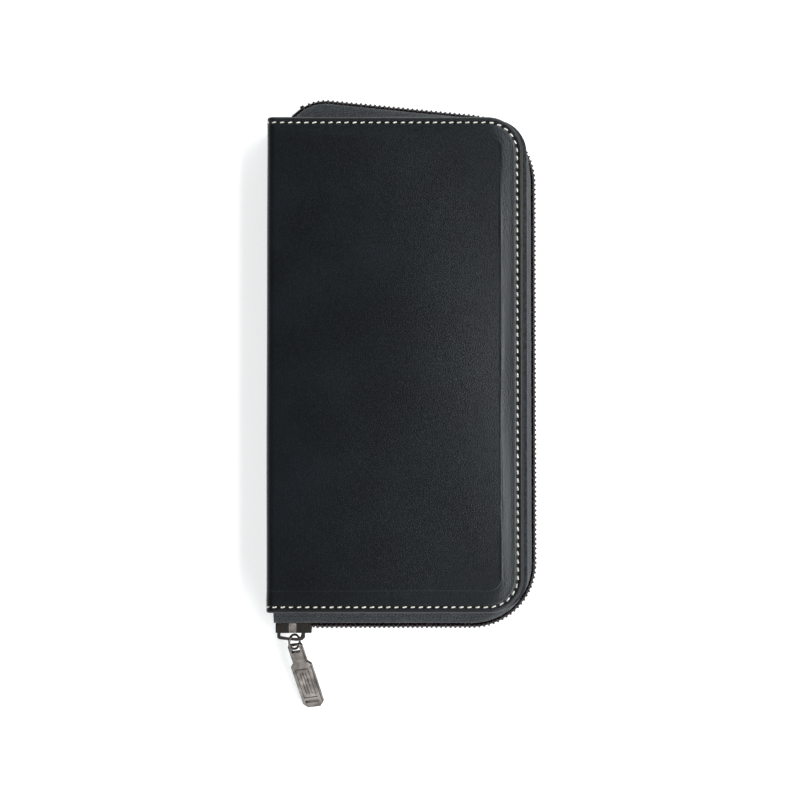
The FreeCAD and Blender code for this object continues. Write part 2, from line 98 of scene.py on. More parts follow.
# ------------------------------------------------------------------ finishes
def colour(code):
    """sRGB hex to linear RGBA."""
    parts = np.array([int(code[i:i + 2], 16) for i in (1, 3, 5)]) / 255
    linear = np.where(parts <= 0.04045, parts / 12.92, ((parts + 0.055) / 1.055) ** 2.4)
    return (*[float(v) for v in linear], 1.0)


def put(tree, kind, sockets=None, **settings):
    """Adds a node with its settings, and fills its sockets with values or links."""
    made = tree.nodes.new(kind)
    for name, value in settings.items():
        setattr(made, name, value)
    for name, value in (sockets or {}).items():
        if isinstance(value, bpy.types.NodeSocket):
            tree.links.new(value, made.inputs[name])
        else:
            made.inputs[name].default_value = value
    return made


def material(name, base, roughness, **plain):
    """A principled material with its plain values, and its tree and shader."""
    made = bpy.data.materials.new(name)
    made.use_nodes = True
    tree = made.node_tree
    shader = tree.nodes["Principled BSDF"]
    shader.inputs["Base Color"].default_value = colour(base)
    shader.inputs["Roughness"].default_value = roughness
    for socket, value in plain.items():
        shader.inputs[socket.replace("_", " ")].default_value = value
    return made, tree, shader


def millimetres(tree):
    """Object coordinates counted in millimetres."""
    source = put(tree, "ShaderNodeTexCoord").outputs["Object"]
    return put(tree, "ShaderNodeMapping", {"Vector": source, "Scale": (1000.0,) * 3}).outputs[0]


def sewn_places(tree):
    """The piece's own map: along its edge and in from its edge, in millimetres."""
    source = put(tree, "ShaderNodeUVMap", uv_map="sewn").outputs[0]
    split = put(tree, "ShaderNodeSeparateXYZ", {"Vector": source})
    return split.outputs[0], split.outputs[1]


def maths(tree, operation, a, b=0.0, c=0.0):
    """One sum on values or links."""
    return put(tree, "ShaderNodeMath", {0: a, 1: b, 2: c}, operation=operation).outputs[0]


def blended(tree, factor, a, b):
    """Two colours mixed by a factor."""
    return put(tree, "ShaderNodeMix", {0: factor, 6: a, 7: b}, data_type="RGBA").outputs[2]


def graded(tree, factor, low, high, to_low=0.0, to_high=1.0):
    """A value carried from one range to another, clamped."""
    sockets = {0: factor, 1: low, 2: high, 3: to_low, 4: to_high}
    return put(tree, "ShaderNodeMapRange", sockets).outputs[0]


def bumped(tree, height, depth_mm, strength=1.0, below=None):
    """A bump of that depth, on top of another one."""
    sockets = {"Height": height, "Distance": depth_mm * MM, "Strength": strength}
    if below is not None:
        sockets["Normal"] = below
    return put(tree, "ShaderNodeBump", sockets).outputs[0]


def leather(name, dark, light, roughness, gloss, ridge_highlight=False):
    """Smooth cowhide, pigment finished: a fine closed grain of about 0.8 mm, faint clouding,
    a soft broad sheen, edges rubbed a little browner, stitch holes painted near black as painted
    shade, and if asked a painted highlight: a paler line over the board's edge."""
    made, tree, shader = material(name, dark, roughness, Specular_IOR_Level=gloss)
    place = millimetres(tree)
    cloud = put(tree, "ShaderNodeTexNoise", {"Vector": place, "Scale": 0.045, "Detail": 4.0})
    mottle = put(tree, "ShaderNodeTexNoise", {"Vector": place, "Scale": 0.9, "Detail": 3.0})
    tone = graded(tree, cloud.outputs[0], 0.3, 0.7)
    base = blended(tree, tone, colour(dark), colour(light))
    speck = graded(tree, mottle.outputs[0], 0.35, 0.75, 0.0, 0.30)
    base = blended(tree, speck, base, colour(light))
    pores = put(tree, "ShaderNodeTexVoronoi", {"Vector": place, "Scale": 1.25},
                feature="DISTANCE_TO_EDGE")
    grain = graded(tree, pores.outputs[0], 0.0, 0.28)
    wrinkle = put(tree, "ShaderNodeTexNoise",
                  {"Vector": place, "Scale": 0.22, "Detail": 5.0, "Distortion": 0.6})
    normal = bumped(tree, wrinkle.outputs[0], 0.04, 0.5)
    normal = bumped(tree, grain, 0.018, 0.8, normal)
    fine = put(tree, "ShaderNodeTexNoise", {"Vector": place, "Scale": 4.0, "Detail": 2.0})
    normal = bumped(tree, fine.outputs[0], 0.012, 0.6, normal)
    rough = graded(tree, mottle.outputs[0], 0.25, 0.8, roughness - 0.02, roughness + 0.03)
    along, inward = sewn_places(tree)
    worn = graded(tree, inward, 0.1, 1.3, 0.55, 0.0)
    base = blended(tree, worn, base, colour("#2a2725"))
    # Stitch holes: painted shade, near black at both ends of each stitch along the row, also
    # pressed in by the bump.
    phase = maths(tree, "FRACT", maths(tree, "DIVIDE", along, STITCH_PITCH))
    gap = maths(tree, "ABSOLUTE", maths(tree, "SUBTRACT", phase, 0.5))
    hole_shade = graded(tree, gap, 0.30, 0.42)
    row = maths(tree, "ABSOLUTE", maths(tree, "SUBTRACT", inward, STITCH_INSET))
    hole_shade = maths(tree, "MULTIPLY", hole_shade, graded(tree, row, 0.25, 0.55, 1.0, 0.0))
    # Painted highlight: a paler line along the ridge over the board's edge, full on the right-hand
    # long side, faint elsewhere, fading out towards the top end, in patches.
    if ridge_highlight:
        drift = maths(tree, "MULTIPLY_ADD", cloud.outputs[0], 1.1, X_RIM - BOARD_X - 0.55)
        fold = maths(tree, "ABSOLUTE", maths(tree, "SUBTRACT", inward, drift))
        fold = graded(tree, fold, 0.06, 0.26, 1.0, 0.0)
        split = put(tree, "ShaderNodeSeparateXYZ", {"Vector": place})
        side = graded(tree, split.outputs[0], BOARD_X - 4, BOARD_X - 0.5, 0.1, 1.0)
        upper = graded(tree, split.outputs[1], 52.0, 68.0, 1.0, 0.0)
        patchy = graded(tree, cloud.outputs[0], 0.35, 0.6, 0.5, 1.0)
        shown = maths(tree, "MULTIPLY", maths(tree, "MULTIPLY", side, upper), patchy)
        fold = maths(tree, "MULTIPLY", fold, shown)
        base = blended(tree, fold, base, colour("#596069"))
    # Painted shade in the stitch holes.
    base = blended(tree, hole_shade, base, colour("#050506"))
    normal = bumped(tree, maths(tree, "MULTIPLY", hole_shade, -1.0), 0.35, 1.0, normal)
    tree.links.new(base, shader.inputs["Base Color"])
    tree.links.new(rough, shader.inputs["Roughness"])
    tree.links.new(normal, shader.inputs["Normal"])
    return made


def woven(name, dark, light, thread_mm):
    """Polyester twill woven in slanting ribs that turn every few threads. Real threads are
    about 0.3 mm; they are drawn twice as coarse so that the weave shows as speckle. A brown
    line is woven in beside the coil."""
    made, tree, shader = material(name, dark, 0.82, Sheen_Weight=0.15, Sheen_Roughness=0.5)
    along, across = sewn_places(tree)
    turn = maths(tree, "PINGPONG", across, thread_mm * 4)
    slant = maths(tree, "ADD", along, turn)
    rib = maths(tree, "SINE", maths(tree, "MULTIPLY", slant, math.tau / (thread_mm * 2)))
    cross = maths(tree, "SINE", maths(tree, "MULTIPLY", across, math.tau / thread_mm))
    weave = maths(tree, "MULTIPLY_ADD", cross, 0.5, maths(tree, "MULTIPLY", rib, 0.6))
    place = millimetres(tree)
    fuzz = put(tree, "ShaderNodeTexNoise", {"Vector": place, "Scale": 1.3, "Detail": 1.5})
    lit = graded(tree, maths(tree, "MULTIPLY_ADD", fuzz.outputs[0], 9.0, weave), 3.2, 6.4)
    base = blended(tree, lit, colour(dark), colour(light))
    line = maths(tree, "ABSOLUTE", maths(tree, "SUBTRACT", across, TAPE_LINE))
    base = blended(tree, graded(tree, line, 0.25, 0.6, 0.75, 0.0), base, colour("#463a33"))
    tree.links.new(base, shader.inputs["Base Color"])
    normal = bumped(tree, weave, 0.10, 0.8)
    normal = bumped(tree, fuzz.outputs[0], 0.12, 0.5, normal)
    tree.links.new(normal, shader.inputs["Normal"])
    return made


def suede_cloth(name, dark, light):
    """Brushed microfibre cloth: short nap that lies in soft patches, matt with a pale sheen."""
    made, tree, shader = material(name, dark, 0.95, Sheen_Weight=0.35, Sheen_Roughness=0.6)
    place = millimetres(tree)
    patch = put(tree, "ShaderNodeTexNoise", {"Vector": place, "Scale": 0.06, "Detail": 5.0})
    nap = put(tree, "ShaderNodeTexNoise", {"Vector": place, "Scale": 3.2, "Detail": 4.0})
    lit = maths(tree, "MULTIPLY_ADD", nap.outputs[0], 0.7, patch.outputs[0])
    base = blended(tree, graded(tree, lit, 0.55, 1.15), colour(dark), colour(light))
    tree.links.new(base, shader.inputs["Base Color"])
    tree.links.new(bumped(tree, nap.outputs[0], 0.15, 0.7), shader.inputs["Normal"])
    return made


def ribbed_elastic(name, dark, light):
    """Braided elastic webbing: raised cords 1.6 mm apart along its length, crossed by fine picks.
    The colour is a painted highlight and painted shade: lighter on the raised cords and darker
    between them, so it shows narrow light lines."""
    made, tree, shader = material(name, dark, 0.75, Sheen_Weight=0.2, Sheen_Roughness=0.4)
    along, across = sewn_places(tree)
    cord = maths(tree, "SINE", maths(tree, "MULTIPLY", across, math.tau / 1.6))
    pick = maths(tree, "SINE", maths(tree, "MULTIPLY", along, math.tau / 0.8))
    height = maths(tree, "MULTIPLY_ADD", pick, 0.3, cord)
    # Painted highlight and shade: the colour follows the height, lighter on the cords and darker
    # between.
    lit = graded(tree, height, -1.2, 1.3)
    base = blended(tree, lit, colour(dark), colour(light))
    tree.links.new(base, shader.inputs["Base Color"])
    tree.links.new(bumped(tree, height, 0.14, 0.9), shader.inputs["Normal"])
    return made


def twisted_thread(name, dark, light):
    """Waxed two-ply polyester thread: off-white, slightly soiled, plies twisting every 1.4 mm."""
    made, tree, shader = material(name, light, 0.6, Sheen_Weight=0.1)
    place = millimetres(tree)
    soil = put(tree, "ShaderNodeTexNoise", {"Vector": place, "Scale": 0.35, "Detail": 3.0})
    ply = put(tree, "ShaderNodeTexWave", {"Vector": place, "Scale": 0.45, "Distortion": 0.5},
              bands_direction="DIAGONAL")
    shade = maths(tree, "MULTIPLY_ADD", ply.outputs[1], 0.35, soil.outputs[0])
    base = blended(tree, graded(tree, shade, 0.35, 0.85), colour(dark), colour(light))
    tree.links.new(base, shader.inputs["Base Color"])
    tree.links.new(bumped(tree, ply.outputs[1], 0.12, 0.7), shader.inputs["Normal"])
    return made


def moulded_nylon(name, dark, light):
    """Heat-set nylon monofilament: near black with a warm maroon cast and a wet-looking glint."""
    made, tree, shader = material(name, dark, 0.3)
    place = millimetres(tree)
    dye = put(tree, "ShaderNodeTexNoise", {"Vector": place, "Scale": 0.5, "Detail": 2.0})
    base = blended(tree, graded(tree, dye.outputs[0], 0.4, 0.7), colour(dark), colour(light))
    tree.links.new(base, shader.inputs["Base Color"])
    rough = graded(tree, dye.outputs[0], 0.3, 0.7, 0.18, 0.32)
    tree.links.new(rough, shader.inputs["Roughness"])
    return made


def plated_metal(name, dark, light, roughness):
    """Antique nickel plate over die-cast zinc, tumbled: warm grey metal, duller and darker in
    patches, brighter where fingers rub it."""
    made, tree, shader = material(name, light, roughness, Metallic=1.0)
    place = millimetres(tree)
    patina = put(tree, "ShaderNodeTexNoise", {"Vector": place, "Scale": 0.3, "Detail": 3.0})
    base = blended(tree, graded(tree, patina.outputs[0], 0.3, 0.75), colour(dark), colour(light))
    rough = graded(tree, patina.outputs[0], 0.3, 0.7, roughness + 0.12, roughness - 0.06)
    grit = put(tree, "ShaderNodeTexNoise", {"Vector": place, "Scale": 7.0, "Detail": 2.0})
    tree.links.new(base, shader.inputs["Base Color"])
    tree.links.new(rough, shader.inputs["Roughness"])
    tree.links.new(bumped(tree, grit.outputs[0], 0.02, 0.5), shader.inputs["Normal"])
    return made


def pressed_board(name, dark, light):
    """Grey-brown bookbinder's board: matt, with long fibres pressed flat."""
    made, tree, shader = material(name, dark, 0.95)
    place = millimetres(tree)
    fibre = put(tree, "ShaderNodeTexNoise", {"Vector": place, "Scale": 0.8, "Detail": 8.0})
    base = blended(tree, fibre.outputs[0], colour(dark), colour(light))
    tree.links.new(base, shader.inputs["Base Color"])
    tree.links.new(bumped(tree, fibre.outputs[0], 0.1, 0.5), shader.inputs["Normal"])
    return made


# Black pigment over cowhide: a soft broad sheen, fine grain where light grazes it, and a painted
# highlight along the board's edge on its right-hand side.
COVER_HIDE = leather("pigmented_cowhide_cover", "#05080b", "#10151a", 0.31, 0.38, True)
# The same hide with a duller coat, a shade greyer: panel, pocket and binding.
INNER_HIDE = leather("pigmented_cowhide_inside", "#1d1d20", "#2d2d31", 0.48, 0.35)
# Waxed polyester: cream stitches that stand out against the black.
THREAD = twisted_thread("waxed_polyester_thread", "#cfc7b6", "#faf6ec")
# Woven polyester: matt charcoal, speckled by its slanting ribs.
TAPE_WEAVE = woven("woven_polyester_tape", "#0d1013", "#31363c", 0.55)
# Brushed microfibre: matt and cloudy, paler where its nap leans.
LINING_CLOTH = suede_cloth("brushed_microfibre_lining", "#1a1a1d", "#2f2f33")
# Braided elastic: narrow raised lines across each pen loop, with painted highlights on their tops.
ELASTIC = ribbed_elastic("braided_elastic_webbing", "#0e0e10", "#2c2c30")
# Heat-set nylon: near black with a maroon cast, a glint on each turn.
COIL_NYLON = moulded_nylon("heat_set_nylon_coil", "#1c1214", "#3a2a2b")
# Filler cord inside the coil: the cord is real; its dull dark brown, darker than the coil, is
# painted shade between the turns.
SHADE_DARK_CORE = moulded_nylon("shade_dark_filler_cord", "#0e0908", "#1f1613")
# Antique nickel plate: warm grey, worn brighter in patches.
GUNMETAL = plated_metal("antique_nickel_plate", "#4c4744", "#7b7470", 0.30)
# Blackened nickel plate: the slider's body, darker than its pull.
DARK_NICKEL = plated_metal("blackened_nickel_plate", "#2b2827", "#5a5450", 0.36)
# Bookbinder's board: grey-brown, matt and fibrous.
BOARD = pressed_board("bookbinders_board", "#6d6454", "#8b8270")
# Stiffened felt: mid grey and matt.
STIFFENER = pressed_board("stiffened_felt", "#2f2f2f", "#474747")


# ------------------------------------------------------------------ shapes
def grid(points, sewn, closed=False):
    """Quads between neighbouring points of a grid; closed joins its last row to its first."""
    rows, columns = points.shape[:2]
    numbers = np.arange(rows * columns).reshape(rows, columns)
    if closed:
        numbers = np.vstack([numbers, numbers[:1]])
    faces = np.stack([numbers[:-1, :-1], numbers[1:, :-1], numbers[1:, 1:], numbers[:-1, 1:]], -1)
    return points.reshape(-1, 3), faces.reshape(-1, 4), sewn.reshape(-1, 2)


def piece(name, parts, finish, thickness=0.0, side=-1.0, sharp=40.0):
    """One mesh of several grids, welded where they meet. A thickness makes it a closed wall,
    on the side away from its normals (-1), both sides (0) or towards them (1)."""
    starts = np.cumsum([0] + [len(p[0]) for p in parts])
    points = np.vstack([p[0] for p in parts]) * MM
    faces = np.vstack([p[1] + s for p, s in zip(parts, starts)])
    sewn = np.vstack([p[2] for p in parts])
    mesh = bpy.data.meshes.new(name)
    mesh.from_pydata(points.tolist(), [], faces.tolist())
    layer = mesh.uv_layers.new(name="sewn")
    corners = np.zeros(len(mesh.loops), np.int32)
    mesh.loops.foreach_get("vertex_index", corners)
    layer.data.foreach_set("uv", sewn[corners].astype(np.float32).ravel())
    soft = bmesh.new()
    soft.from_mesh(mesh)
    bmesh.ops.remove_doubles(soft, verts=soft.verts, dist=2e-6)
    soft.to_mesh(mesh)
    soft.free()
    made = bpy.data.objects.new(name, mesh)
    bpy.context.scene.collection.objects.link(made)
    mesh.materials.append(finish)
    if thickness:
        wall = made.modifiers.new("wall", "SOLIDIFY")
        wall.thickness = thickness * MM
        wall.offset = side
        wall.use_even_offset = True
        deps = bpy.context.evaluated_depsgraph_get()
        made.data = bpy.data.meshes.new_from_object(made.evaluated_get(deps))
        made.modifiers.clear()
    made.data.polygons.foreach_set("use_smooth", np.ones(len(made.data.polygons), bool))
    made.data.set_sharp_from_angle(angle=math.radians(sharp))
    return made


def smooth(value):
    """Eases a value from 0 to 1."""
    value = np.clip(value, 0.0, 1.0)
    return value * value * (3 - 2 * value)


def inside(x, y, x_edge, y_edge, radius):
    """Distance in from a rounded edge that has no left side."""
    across = x - (x_edge - radius)
    along = np.abs(y) - (y_edge - radius)
    outside = np.hypot(np.maximum(across, 0), np.maximum(along, 0))
    return radius - outside - np.minimum(np.maximum(across, along), 0)


def corner_path(corners, straight, bend):
    """Points of an open path of straight runs and round corners, with their inward normals.
    A run's points are evenly spaced, and a corner's turn evenly about its own centre."""
    at = np.array([c[:2] for c in corners], float)
    way = np.diff(at, axis=0)
    length = np.linalg.norm(way, axis=1)
    way /= length[:, None]
    points, normals, cut = [], [], 0.0
    for i, (run, count) in enumerate(zip(way, straight)):
        left = np.array([-run[1], run[0]])
        radius = corners[i + 1][2]
        last = i == len(way) - 1
        turn = 0.0 if last else math.atan2(run[0] * way[i + 1][1] - run[1] * way[i + 1][0],
                                           run @ way[i + 1])
        taken = radius * math.tan(abs(turn) / 2)
        t = np.linspace(cut, length[i] - taken, count)[:, None]
        points.append(at[i] + run * t)
        normals.append(np.repeat(left[None], count, 0))
        if not last:
            centre = at[i] + run * (length[i] - taken) + left * radius
            angle = np.linspace(0, turn, bend + 2)[1:-1, None]
            spoke = left * np.cos(angle) + np.array([-left[1], left[0]]) * np.sin(angle)
            points.append(centre - spoke * radius)
            normals.append(spoke)
        cut = taken
    return np.vstack(points), np.vstack(normals)


def run_length(points):
    """Length along a path to each of its points."""
    return np.concatenate([[0], np.cumsum(np.linalg.norm(np.diff(points, axis=0), axis=1))])


def wrapped(s, y, height, wall, top, radius):
    """Sheet laid over a fold: s runs up the spine's wall, round a quarter turn of that radius,
    and along the cover. Height stands out from the sheet everywhere."""
    begins = wall + radius
    angle = np.clip((begins - s) / radius, 0, math.pi / 2)
    down = np.maximum(begins - radius * math.pi / 2 - s, 0)
    x = np.where(s > begins, s, begins - (radius + height) * np.sin(angle))
    z = np.where(s > begins, top + height, top - radius + (radius + height) * np.cos(angle) - down)
    return np.stack([x, y, z], -1)


def spine_start(wall, top, radius):
    """Where s begins, at half the spine's height."""
    return wall + radius - radius * math.pi / 2 - (top - radius - Z_MID)


def fold_sheet(x_edge, y_edge, radius, s_low, rings):
    """Plan of a sheet with two rounded corners: rings follow its three free edges in to the
    corners' centres, and an even grid fills the rest. Gives (s, y, along) of both parts."""
    corners = [(s_low, -y_edge, 0), (x_edge, -y_edge, radius), (x_edge, y_edge, radius),
               (s_low, y_edge, 0)]
    across = int(round((x_edge - radius - s_low) / 0.8)) + 1
    tall = int(round((2 * (y_edge - radius)) / 1.0)) + 1
    edge, normal = corner_path(corners, [across, tall, across], 26)
    along = run_length(edge + normal * STITCH_INSET)
    band = edge[:, None] + normal[:, None] * rings[None, :, None]
    band_along = np.repeat(along[:, None], len(rings), 1)
    x = np.linspace(s_low, x_edge - radius, across)
    y = np.linspace(-(y_edge - radius), y_edge - radius, tall)
    fill = np.stack(np.meshgrid(x, y, indexing="ij"), -1)
    return (band[..., 0], band[..., 1], band_along), (fill[..., 0], fill[..., 1], fill[..., 1])


def cover_height(s, y, crown):
    """Outer face of a cover against the panel's level: the panel falls softly to the sewn
    margin round the board, with a fine ridge over the board's edge, a shallow groove under
    the stitches, a rolled edge, slow hand-made waves, and a crown if asked."""
    edge = inside(s, y, X_RIM, Y_END, CORNER)
    board = -inside(s, y, BOARD_X, BOARD_Y, BOARD_CORNER)
    sideways = smooth((s - BOARD_X + 4) / 6)
    panel = 1 - smooth((board - 0.2) / 3.6)
    waver = 1 + 0.35 * np.sin(y / 6.1) + 0.25 * np.sin(y / 2.3 + 1.0)
    crest = np.maximum(0, 0.6 + 0.5 * np.cos(y / 42.0)) * waver * (0.15 + 0.85 * sideways)
    ridge = 0.09 * crest * np.exp(-((board - 0.1 - 0.12 * np.sin(y / 9.0)) / 0.38) ** 2)
    groove = 0.14 * np.exp(-((edge - STITCH_INSET) / 0.5) ** 2)
    roll = 0.75 - np.sqrt(np.clip(0.75 ** 2 - np.clip(0.75 - edge, 0, 0.75) ** 2, 0, None))
    pillow = np.clip(1 - ((s + 3) / 41) ** 2, 0, 1) * np.clip(1 - (y / 84) ** 2, 0, 1)
    waves = 0.05 * np.sin(s / 9.0 + y / 23.0) + 0.04 * np.sin(y / 14.0 - s / 17.0 + 1.3)
    rise = crown * (pillow + waves * np.clip(edge / 6, 0, 1))
    flat = 0.12 + 0.88 * smooth((s - X_FOLD) / 9.0)
    beside = STEP * (0.35 + 0.65 * sideways) * (1 - panel)
    drop = flat * (beside + EDGE_DROP * (1 - smooth((edge - 0.3) / 5.0)))
    return -drop + ridge + rise * panel - groove - roll


def mirrored(part):
    """A front part turned over to the back half, with its faces still outwards."""
    points, faces, sewn = part
    return points * (1, 1, -1) + (0, 0, Z_TOP), faces[:, ::-1], sewn


def bend(made, half):
    """Fabric across a fold: bakes the piece's placement into its mesh, the same for the front and
    the back half."""
    if half == "front":
        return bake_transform(made)
    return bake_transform(made)


FOLD_RADIUS = 2.0
FRONT_CROWN = 1.1             # the upper cover is puffed a little by the pens
BACK_CROWN = 0.0              # the lower cover lies flat on its board
RINGS = np.concatenate([np.linspace(0, 0.75, 6), np.linspace(1.1, CORNER, 34)])


def cover_skin(half, crown):
    """Leather of one cover and half the spine, wrapped round the fold."""
    s_low = spine_start(X_FOLD, Z_TOP, FOLD_RADIUS)
    parts = []
    for s, y, along in fold_sheet(X_RIM, Y_END, CORNER, s_low, RINGS):
        points = wrapped(s, y, cover_height(s, y, crown), X_FOLD, Z_TOP, FOLD_RADIUS)
        edge = inside(s, y, X_RIM, Y_END, CORNER)
        parts.append(grid(points, np.stack([along, edge], -1)))
    if half == "back":
        parts = [mirrored(p) for p in parts]
    return piece(half + "_leather_skin", parts, COVER_HIDE, LEATHER)


front_skin = cover_skin("front", FRONT_CROWN)
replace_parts(front_skin, "front_cover_leather", "spine_leather")
bend(front_skin, "front")
back_skin = cover_skin("back", BACK_CROWN)
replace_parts(back_skin, "back_cover_leather")
bend(back_skin, "back")


def lining_skin(half):
    """Lining of one cover and half the spine, one cloth round the inside of the fold."""
    s_low = spine_start(LINING_WALL, LINING_Z, LINING_FOLD)
    rings = np.concatenate([[0, 0.3, 0.7], np.linspace(1.2, LINING_CORNER, 10)])
    parts = []
    for s, y, along in fold_sheet(LINING_X, LINING_Y, LINING_CORNER, s_low, rings):
        edge = inside(s, y, LINING_X, LINING_Y, LINING_CORNER)
        slack = 0.08 * np.sin(s / 7.0 + y / 11.0) * np.clip(edge / 8, 0, 1)
        height = 0.3 - 0.3 * smooth(edge / 0.6) - np.abs(slack)
        points = wrapped(s, y, height, LINING_WALL, LINING_Z, LINING_FOLD)
        points, faces, sewn = grid(points, np.stack([along, edge], -1))
        parts.append((points, faces[:, ::-1], sewn))
    if half == "back":
        parts = [mirrored(p) for p in parts]
    made = piece(half + "_lining_cloth", parts, LINING_CLOTH, 0.7)
    return bend(made, half)


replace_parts(lining_skin("front"), "front_lining", "spine_lining")
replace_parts(lining_skin("back"), "back_lining")


# ------------------------------------------------------------------ stitches
def stitch_shape():
    """One stitch lying on the leather: an ellipse carried over a low arch, its two ends drawn
    to points below the surface. Gives (along, across, up) on a closed grid."""
    t = np.linspace(-1, 1, 9)[:, None]
    a = np.linspace(0, math.tau, 8, endpoint=False)[None]
    full = np.sqrt(np.clip(1 - t ** 2, 0, 1)) ** 0.7
    along = t * 0.88 + 0 * a
    across = 0.25 * full * np.cos(a)
    up = 0.28 * full - 0.24 + 0.21 * full * np.sin(a) + 0.14 * (1 - t ** 2)
    return np.stack([along, across, up], -1)


def stitch_row(places, ways, heights, lay):
    """The stitch repeated along a path on a sheet, each slanted a little from the row."""
    shape = stitch_shape()
    slant = math.radians(9)
    local = shape @ np.array([[math.cos(slant), math.sin(slant), 0],
                              [-math.sin(slant), math.cos(slant), 0], [0, 0, 1]])
    side = np.stack([-ways[:, 1], ways[:, 0]], -1)
    flat = (places[:, None, None] + local[None, ..., :1] * ways[:, None, None]
            + local[None, ..., 1:2] * side[:, None, None])
    up = heights[:, None, None] + local[None, ..., 2]
    points = lay(flat[..., 0], flat[..., 1], up)
    count, rows, columns = points.shape[:3]
    numbers = np.arange(rows * columns).reshape(rows, columns)
    ring = np.roll(numbers, -1, axis=1)
    faces = np.stack([numbers[:-1], ring[:-1], ring[1:], numbers[1:]], -1).reshape(-1, 4)
    faces = (faces[None] + (np.arange(count) * rows * columns)[:, None, None]).reshape(-1, 4)
    sewn = np.stack(np.broadcast_arrays(local[None, ..., 0], up), -1).reshape(-1, 2)
    return points.reshape(-1, 3), faces, sewn


def cover_thread(half, crown):
    """Stitches round a cover and over its half of the spine, at the same pitch throughout."""
    s_low = spine_start(X_FOLD, Z_TOP, FOLD_RADIUS)
    y_row, x_row = Y_END - STITCH_INSET, X_RIM - STITCH_INSET
    corners = [(s_low, -y_row, 0), (x_row, -y_row, CORNER - STITCH_INSET),
               (x_row, y_row, CORNER - STITCH_INSET), (s_low, y_row, 0)]
    path, normal = corner_path(corners, [200, 300, 200], 60)
    length = run_length(path)
    where = np.arange(STITCH_PITCH / 2, length[-1], STITCH_PITCH)
    places = np.stack([np.interp(where, length, path[:, i]) for i in (0, 1)], -1)
    inward = np.stack([np.interp(where, length, normal[:, i]) for i in (0, 1)], -1)
    ways = np.stack([inward[:, 1], -inward[:, 0]], -1)
    heights = cover_height(places[:, 0], places[:, 1], crown)

    def lay(s, y, height):
        return wrapped(s, y, height, X_FOLD, Z_TOP, FOLD_RADIUS)

    part = stitch_row(places, ways, heights, lay)
    if half == "back":
        part = mirrored(part)
    return piece(half + "_cover_thread", [part], THREAD, sharp=80)


front_thread = cover_thread("front", FRONT_CROWN)
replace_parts(front_thread, "front_stitching", "spine_stitching")
bend(front_thread, "front")
back_thread = cover_thread("back", BACK_CROWN)
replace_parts(back_thread, "back_stitching")
bend(back_thread, "back")


# ------------------------------------------------------------------ zip
def gusset_tape(half):
    """Woven tape from under the cover's margin out to the chain: a flat flange, a slope that
    bellies outwards, and an upright wall behind the coil. Each point's place in plan is mixed
    from the cover's edge and the chain's path, and puckers run along the belly. The front's
    wall is drawn up clear of the place where the slider parks."""
    counts = [90, 150, 90, 14]
    cover = [(-41.5, -Y_END, 0), (X_EDGE, -Y_END, CORNER), (X_EDGE, Y_END, CORNER),
             (-29.5, Y_END, 4.0), (-37.5, Y_END, 0)]
    inner, inner_way = corner_path(cover, counts, 24)
    outer, outer_way = corner_path(CHAIN, counts, 24)
    along = run_length(outer)
    flange = np.linspace(0, 1, 5)
    slope = np.linspace(0, 1, 16)[1:]
    wall = np.linspace(0, 1, 7)[1:]
    share = np.concatenate([0 * flange, smooth(slope) * 0.75 + slope * 0.25, 1 + 0 * wall])
    inset = np.concatenate([FLANGE - 5.7 * flange, 0.9 + 0 * slope, 0.9 + 0 * wall])
    level = np.concatenate([TAPE_TOP + 0 * flange, TAPE_TOP - 4.9 * slope ** 0.85,
                            TAPE_LIP - 4.5 * wall])
    belly = np.concatenate([0 * flange, np.sin(math.pi * slope), 0 * wall])
    drop = np.concatenate([0 * flange, 0 * slope, wall])
    parks = np.zeros(len(along))
    if half == "front":
        parks = (1 - smooth((outer[:, 0] + 29.0) / 2.4)) * (outer[:, 1] < 0)
    pucker = 0.16 * np.sin(along / 5.3) + 0.1 * np.sin(along / 2.1 + 0.7)
    near = inner[:, None] + inner_way[:, None] * inset[None, :, None]
    tuck = np.concatenate([0 * flange, 0 * slope, smooth(wall * 2.0)])
    far = outer[:, None] + outer_way[:, None] * (2.30 + 0.20 * tuck)[None, :, None]
    plan = near + (far - near) * share[None, :, None]
    plan -= outer_way[:, None] * (belly[None, :, None] * (0.15 + 0.7 * pucker[:, None, None]))
    z = level[None] + parks[:, None] * drop[None] * 4.3
    points = np.concatenate([plan, z[..., None]], -1)
    profile = np.concatenate([FLANGE * flange, FLANGE + 6.0 * slope, 12.6 + 4.5 * wall])
    sewn = np.stack(np.broadcast_arrays(along[:, None], profile[None]), -1)
    part = grid(points, sewn)
    part = (part[0], part[1][:, ::-1], part[2])
    if half == "back":
        part = mirrored(part)
    made = piece(half + "_woven_tape", [part], TAPE_WEAVE, 0.5, 0.0, 60)
    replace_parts(made, half + "_zip_tape")
    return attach(made, half)


def tube_along(path, way, length, where, radii, level, square=1.0):
    """Closed tube round a path: a superellipse (squarer below 1) of those radii inwards and
    upwards, drawn in to a point at both ends."""
    centre = np.stack([np.interp(where, length, path[:, i]) for i in (0, 1)], -1)
    inward = np.stack([np.interp(where, length, way[:, i]) for i in (0, 1)], -1)
    inward /= np.linalg.norm(inward, axis=1)[:, None]
    a = np.linspace(0, math.tau, 17)[None]
    cos = np.sign(np.cos(a)) * np.abs(np.cos(a)) ** square
    sin = np.sign(np.sin(a)) * np.abs(np.sin(a)) ** square
    near = np.minimum(where - where[0], where[-1] - where)[:, None]
    full = np.clip(near / 0.3, 0, 1) ** 0.3
    plan = centre[:, None] + inward[:, None] * (radii[0] * cos * full)[..., None]
    z = level + radii[1] * sin * full
    points = np.concatenate([plan, z[..., None]], -1)
    sewn = np.stack(np.broadcast_arrays(where[:, None], a), -1)
    points, faces, sewn = grid(points, sewn)
    return points, faces[:, ::-1], sewn


